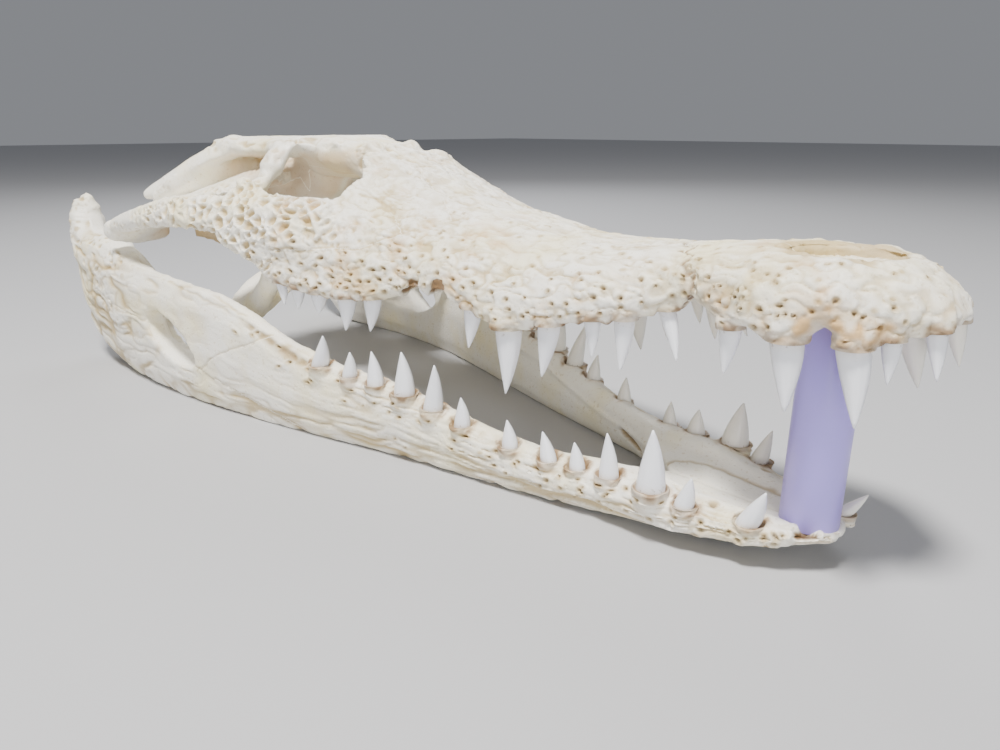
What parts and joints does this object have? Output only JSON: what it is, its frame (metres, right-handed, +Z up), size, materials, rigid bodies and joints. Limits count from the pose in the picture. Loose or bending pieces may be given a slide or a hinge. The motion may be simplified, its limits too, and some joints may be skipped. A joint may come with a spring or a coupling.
{
  "type": "crocodile skull",
  "caption": "Crocodile skull, bleached and life size, resting on its lower jaw with the mouth propped open by a short lilac tube.",
  "frame": {"origin": "under the middle of the whole skull, on the surface the lower jaw rests on", "axes": "+X towards the tip of the snout, +Y to the animal's left, +Z up"},
  "size_m": [0.4446, 0.177, 0.1208],
  "materials": {
    "bone": "satin",
    "tube": "satin"
  },
  "bodies": {
    "root": {"jugal_left": "bone", "jugal_right": "bone", "quadrate_left": "bone", "quadrate_right": "bone", "ectopterygoid_left": "bone", "ectopterygoid_right": "bone", "squamosal_left": "bone", "squamosal_right": "bone", "lacrimal_left": "bone", "lacrimal_right": "bone", "nasal_left": "bone", "nasal_right": "bone", "premaxilla_left": "bone", "premaxilla_right": "bone", "maxilla_left": "bone", "maxilla_right": "bone", "articular_left": "bone", "articular_right": "bone", "angular_left": "bone", "angular_right": "bone", "surangular_left": "bone", "surangular_right": "bone", "splenial_left": "bone", "splenial_right": "bone", "dentary_left": "bone", "dentary_right": "bone", "pterygoid": "bone", "palatine": "bone", "parietal": "bone", "frontal": "bone", "braincase": "bone", "prop_tube": "tube"}
  },
  "joints": []
}
